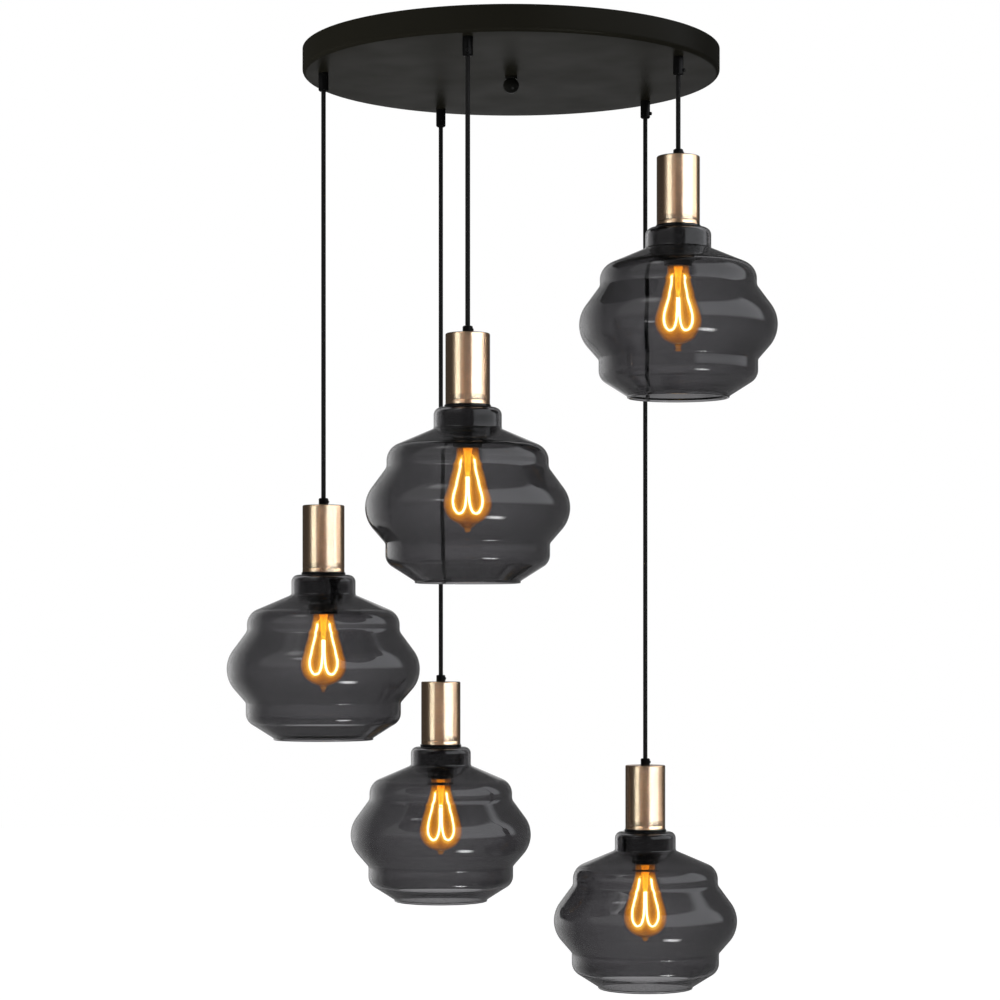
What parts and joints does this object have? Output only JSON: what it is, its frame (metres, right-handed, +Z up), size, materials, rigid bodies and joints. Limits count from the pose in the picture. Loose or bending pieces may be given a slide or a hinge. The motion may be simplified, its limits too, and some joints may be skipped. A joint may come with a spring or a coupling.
{
  "type": "cluster pendant light",
  "caption": "Round black ceiling canopy with smoke-glass lamps under brass sleeves, hung at staggered heights on adjustable black cords.",
  "frame": {"origin": "middle of the ceiling plane: centre of the two screw slots in the bracket, on the face that lies on the ceiling", "axes": "+Z up into the ceiling, everything hangs towards -Z; +X along the bracket, to the right seen from the front; +Y away from the front"},
  "size_m": [0.6479, 0.6561, 1.1443],
  "materials": {
    "canopy_black": "satin black powder coat",
    "bracket_zinc": "bright zinc plate",
    "stud_steel": "plain steel thread",
    "ball_black": "satin black",
    "grip_black": "satin moulded black",
    "screw_black": "black oxide",
    "box_white": "matte moulded plastic",
    "cord_black": "woven black textile sleeve",
    "sleeve_brass": "brushed satin brass",
    "ring_black": "glossy moulded black",
    "holder_black": "moulded black",
    "smoke_glass": "clear blown glass, smoke grey",
    "bulb_amber": "clear amber glass",
    "cap_brass": "plain rolled brass",
    "filament_glow": "glowing filament on a glass stem"
  },
  "bodies": {
    "canopy": {"canopy": "canopy_black", "ceiling_bracket": "bracket_zinc", "centre_stud": "stud_steel", "stud_nuts": "stud_steel", "terminal_box": "box_white", "cord_tails": "cord_black", "cord_grips": "grip_black", "grip_screws": "screw_black", "grip_nuts": "stud_steel"},
    "ball_nut": {"ball_nut": "ball_black"},
    "cord_1": {"cord_1": "cord_black"},
    "lamp_1": {"sleeve_grip_1": "grip_black", "sleeve_1": "sleeve_brass", "flange_ring_1": "ring_black", "lampholder_1": "holder_black", "shade_1": "smoke_glass"},
    "ring_1": {"retaining_ring_1": "ring_black"},
    "bulb_1": {"bulb_base_1": "cap_brass", "bulb_glass_1": "bulb_amber", "bulb_filament_1": "filament_glow"},
    "cord_2": {"cord_2": "cord_black"},
    "lamp_2": {"sleeve_grip_2": "grip_black", "sleeve_2": "sleeve_brass", "flange_ring_2": "ring_black", "lampholder_2": "holder_black", "shade_2": "smoke_glass"},
    "ring_2": {"retaining_ring_2": "ring_black"},
    "bulb_2": {"bulb_base_2": "cap_brass", "bulb_glass_2": "bulb_amber", "bulb_filament_2": "filament_glow"},
    "cord_3": {"cord_3": "cord_black"},
    "lamp_3": {"sleeve_grip_3": "grip_black", "sleeve_3": "sleeve_brass", "flange_ring_3": "ring_black", "lampholder_3": "holder_black", "shade_3": "smoke_glass"},
    "ring_3": {"retaining_ring_3": "ring_black"},
    "bulb_3": {"bulb_base_3": "cap_brass", "bulb_glass_3": "bulb_amber", "bulb_filament_3": "filament_glow"},
    "cord_4": {"cord_4": "cord_black"},
    "lamp_4": {"sleeve_grip_4": "grip_black", "sleeve_4": "sleeve_brass", "flange_ring_4": "ring_black", "lampholder_4": "holder_black", "shade_4": "smoke_glass"},
    "ring_4": {"retaining_ring_4": "ring_black"},
    "bulb_4": {"bulb_base_4": "cap_brass", "bulb_glass_4": "bulb_amber", "bulb_filament_4": "filament_glow"},
    "cord_5": {"cord_5": "cord_black"},
    "lamp_5": {"sleeve_grip_5": "grip_black", "sleeve_5": "sleeve_brass", "flange_ring_5": "ring_black", "lampholder_5": "holder_black", "shade_5": "smoke_glass"},
    "ring_5": {"retaining_ring_5": "ring_black"},
    "bulb_5": {"bulb_base_5": "cap_brass", "bulb_glass_5": "bulb_amber", "bulb_filament_5": "filament_glow"}
  },
  "joints": [
    {"name": "ball_nut_turn", "type": "hinge", "parent": "canopy", "child": "ball_nut", "pos_m": [0, 0, -0.03], "axis": [0, 0, -1], "range_deg": [0, 1080]},
    {"name": "swing_1", "type": "hinge", "parent": "canopy", "child": "cord_1", "pos_m": [0.19387, -0.1142, -0.052], "axis": [1, 0, 0], "range_deg": [-10, 10]},
    {"name": "raise_1", "type": "slide", "parent": "cord_1", "child": "lamp_1", "axis": [0, 0, 1], "range_m": [0, 0.05], "deforming": ["cord_1"]},
    {"name": "ring_turn_1", "type": "hinge", "parent": "lamp_1", "child": "ring_1", "pos_m": [0.19387, -0.1142, -0.2323], "axis": [0, 0, -1], "range_deg": [0, 1080]},
    {"name": "bulb_turn_1", "type": "hinge", "parent": "lamp_1", "child": "bulb_1", "pos_m": [0.19387, -0.1142, -0.271], "axis": [0, 0, -1], "range_deg": [0, 1080]},
    {"name": "swing_2", "type": "hinge", "parent": "canopy", "child": "cord_2", "pos_m": [-0.0487, -0.21967, -0.052], "axis": [1, 0, 0], "range_deg": [-10, 10]},
    {"name": "raise_2", "type": "slide", "parent": "cord_2", "child": "lamp_2", "axis": [0, 0, 1], "range_m": [0, 0.18], "deforming": ["cord_2"]},
    {"name": "ring_turn_2", "type": "hinge", "parent": "lamp_2", "child": "ring_2", "pos_m": [-0.0487, -0.21967, -0.4493], "axis": [0, 0, -1], "range_deg": [0, 1080]},
    {"name": "bulb_turn_2", "type": "hinge", "parent": "lamp_2", "child": "bulb_2", "pos_m": [-0.0487, -0.21967, -0.488], "axis": [0, 0, -1], "range_deg": [0, 1080]},
    {"name": "swing_3", "type": "hinge", "parent": "canopy", "child": "cord_3", "pos_m": [-0.22396, -0.02157, -0.052], "axis": [1, 0, 0], "range_deg": [-10, 10]},
    {"name": "raise_3", "type": "slide", "parent": "cord_3", "child": "lamp_3", "axis": [0, 0, 1], "range_m": [0, 0.29], "deforming": ["cord_3"]},
    {"name": "ring_turn_3", "type": "hinge", "parent": "lamp_3", "child": "ring_3", "pos_m": [-0.22396, -0.02157, -0.6323], "axis": [0, 0, -1], "range_deg": [0, 1080]},
    {"name": "bulb_turn_3", "type": "hinge", "parent": "lamp_3", "child": "bulb_3", "pos_m": [-0.22396, -0.02157, -0.671], "axis": [0, 0, -1], "range_deg": [0, 1080]},
    {"name": "swing_4", "type": "hinge", "parent": "canopy", "child": "cord_4", "pos_m": [-0.08972, 0.20634, -0.052], "axis": [1, 0, 0], "range_deg": [-10, 10]},
    {"name": "raise_4", "type": "slide", "parent": "cord_4", "child": "lamp_4", "axis": [0, 0, 1], "range_m": [0, 0.415], "deforming": ["cord_4"]},
    {"name": "ring_turn_4", "type": "hinge", "parent": "lamp_4", "child": "ring_4", "pos_m": [-0.08972, 0.20634, -0.8463], "axis": [0, 0, -1], "range_deg": [0, 1080]},
    {"name": "bulb_turn_4", "type": "hinge", "parent": "lamp_4", "child": "bulb_4", "pos_m": [-0.08972, 0.20634, -0.885], "axis": [0, 0, -1], "range_deg": [0, 1080]},
    {"name": "swing_5", "type": "hinge", "parent": "canopy", "child": "cord_5", "pos_m": [0.16851, 0.14909, -0.052], "axis": [1, 0, 0], "range_deg": [-10, 10]},
    {"name": "raise_5", "type": "slide", "parent": "cord_5", "child": "lamp_5", "axis": [0, 0, 1], "range_m": [0, 0.48], "deforming": ["cord_5"]},
    {"name": "ring_turn_5", "type": "hinge", "parent": "lamp_5", "child": "ring_5", "pos_m": [0.16851, 0.14909, -0.9503], "axis": [0, 0, -1], "range_deg": [0, 1080]},
    {"name": "bulb_turn_5", "type": "hinge", "parent": "lamp_5", "child": "bulb_5", "pos_m": [0.16851, 0.14909, -0.989], "axis": [0, 0, -1], "range_deg": [0, 1080]}
  ]
}
